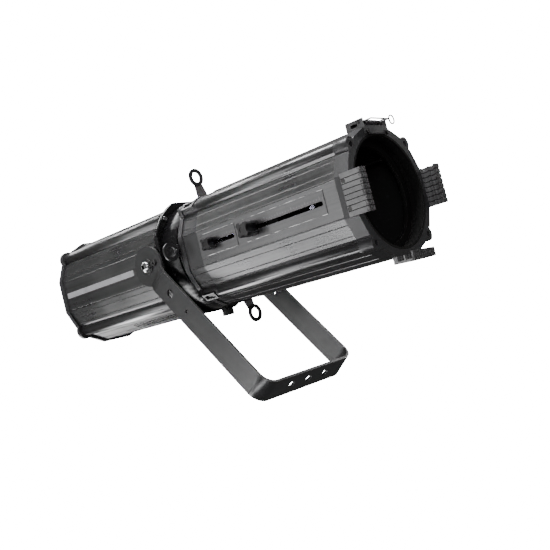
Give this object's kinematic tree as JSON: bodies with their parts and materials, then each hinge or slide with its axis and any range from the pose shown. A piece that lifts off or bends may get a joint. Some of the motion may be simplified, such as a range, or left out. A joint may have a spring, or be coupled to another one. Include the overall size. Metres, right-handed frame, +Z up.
{
  "type": "ellipsoidal spotlight",
  "caption": "Stage profile spotlight: lobed housing and barrel with sliding lenses, framing shutters, colour-frame holders and a flat-bar yoke.",
  "frame": {"origin": "the yoke's centre mounting hole, at the crossbar's outer face", "axes": "+X along the beam at rest, +Z up, +Y to the left seen from behind"},
  "size_m": [0.697, 0.2455, 0.3761],
  "materials": {
    "black_steel": "satin",
    "black_anodised": "gloss",
    "cast_grey": "satin",
    "black_screws": "satin",
    "stripe": "matt",
    "black_cast": "satin",
    "fibre": "matt",
    "bright_steel": "bright",
    "bare_aluminium": "satin",
    "led": "matt",
    "mirror_bowl": "polished",
    "black_plastic": "matt",
    "circuit_board": "gloss",
    "display": "gloss",
    "blackened_steel": "satin",
    "matt_black": "matt",
    "ribbed_grey": "satin",
    "knob_plastic": "satin",
    "lens_glass": "polished",
    "shutter_steel": "satin",
    "ring_grip": "satin"
  },
  "bodies": {
    "yoke": {"yoke": "black_steel", "tilt_lock_screws": "bright_steel"},
    "head": {"rear_housing": "black_anodised", "rear_cap": "cast_grey", "rear_cap_screws": "black_screws", "side_stripes": "stripe", "pivot_bosses": "black_cast", "friction_discs": "fibre", "pivot_washers": "black_screws", "pivot_bolts": "bright_steel", "pivot_nuts": "bright_steel", "front_plate": "black_cast", "front_plate_screws": "bright_steel", "barrel_bearing": "black_cast", "heat_sink": "bare_aluminium", "led_board": "led", "reflector": "mirror_bowl", "fan_frame": "black_plastic", "driver_board": "circuit_board", "power_inlet": "black_plastic", "data_sockets": "bright_steel", "display_window": "display", "safety_loop": "black_steel"},
    "fan": {"fan_rotor": "black_plastic"},
    "menu_knob": {"menu_knob": "black_plastic"},
    "barrel": {"gate_collar": "black_cast", "gate_plate": "blackened_steel", "shutter_guides": "blackened_steel", "barrel_neck": "cast_grey", "barrel_clips": "cast_grey", "front_tube": "black_anodised", "zoom_slot_trim": "black_anodised", "focus_slot_trim": "black_anodised", "lens_guide_rods": "bright_steel", "front_baffle": "matt_black", "front_ring": "cast_grey", "front_ring_screws": "black_screws", "frame_holder_left": "ribbed_grey", "frame_holder_right": "ribbed_grey", "frame_holder_bottom": "ribbed_grey", "holder_screws": "bright_steel", "top_bracket": "ribbed_grey", "latch_pin": "bright_steel", "latch_spring": "bright_steel"},
    "latch": {"frame_latch": "bright_steel"},
    "lock_screw": {"barrel_lock_screw": "knob_plastic"},
    "zoom_lens": {"zoom_lens_carrier": "matt_black", "zoom_lens": "lens_glass"},
    "zoom_knob": {"zoom_knob": "knob_plastic"},
    "focus_lens": {"focus_lens_carrier": "matt_black", "focus_lens": "lens_glass"},
    "focus_knob": {"focus_knob": "knob_plastic"},
    "shutter_left": {"shutter_blade_left": "shutter_steel", "shutter_ring_left": "ring_grip"},
    "shutter_top": {"shutter_blade_top": "shutter_steel", "shutter_ring_top": "ring_grip"},
    "shutter_right": {"shutter_blade_right": "shutter_steel", "shutter_ring_right": "ring_grip"},
    "shutter_bottom": {"shutter_blade_bottom": "shutter_steel", "shutter_ring_bottom": "ring_grip"}
  },
  "joints": [
    {"name": "tilt", "type": "hinge", "parent": "yoke", "child": "head", "pos_m": [-0.18093, 0, 0.22664], "axis": [0, -1, 0], "range_deg": [-4, 100]},
    {"name": "barrel_turn", "type": "hinge", "parent": "head", "child": "barrel", "pos_m": [-0.15093, 0, 0.22664], "axis": [1, 0, 0], "range_deg": [-10, 10]},
    {"name": "fan_spin", "type": "hinge", "parent": "head", "child": "fan", "pos_m": [-0.39892, 0, 0.22664], "axis": [1, 0, 0], "continuous": true},
    {"name": "menu_turn", "type": "hinge", "parent": "head", "child": "menu_knob", "pos_m": [-0.43593, 0.038, 0.27764], "axis": [-1, 0, 0], "continuous": true},
    {"name": "zoom_slide", "type": "slide", "parent": "barrel", "child": "zoom_lens", "axis": [1, 0, 0], "range_m": [0, 0.043]},
    {"name": "focus_slide", "type": "slide", "parent": "barrel", "child": "focus_lens", "axis": [1, 0, 0], "range_m": [0, 0.124]},
    {"name": "zoom_knob_turn", "type": "hinge", "parent": "zoom_lens", "child": "zoom_knob", "pos_m": [-0.03993, -0.095, 0.22864], "axis": [0, -1, 0], "continuous": true},
    {"name": "focus_knob_turn", "type": "hinge", "parent": "focus_lens", "child": "focus_knob", "pos_m": [0.04507, -0.095, 0.22864], "axis": [0, -1, 0], "continuous": true},
    {"name": "lock_turn", "type": "hinge", "parent": "barrel", "child": "lock_screw", "pos_m": [-0.13093, 0, 0.13164], "axis": [0, 0, -1], "continuous": true},
    {"name": "latch_swing", "type": "hinge", "parent": "barrel", "child": "latch", "pos_m": [0.21607, 0, 0.32314], "axis": [0, -1, 0], "range_deg": [0, 100], "stiffness_Nm_per_rad": 0.02, "springref_deg": -28.65},
    {"name": "shutter_left_slide", "type": "slide", "parent": "barrel", "child": "shutter_left", "axis": [0, 1, 0], "range_m": [-0.0035, 0.0162]},
    {"name": "shutter_top_slide", "type": "slide", "parent": "barrel", "child": "shutter_top", "axis": [0, -0.225, 0.9744], "range_m": [-0.0159, 0.0038]},
    {"name": "shutter_right_slide", "type": "slide", "parent": "barrel", "child": "shutter_right", "axis": [0, -1, 0], "range_m": [0, 0.0197]},
    {"name": "shutter_bottom_slide", "type": "slide", "parent": "barrel", "child": "shutter_bottom", "axis": [0, 0.2924, -0.9563], "range_m": [-0.0074, 0.0093]}
  ]
}
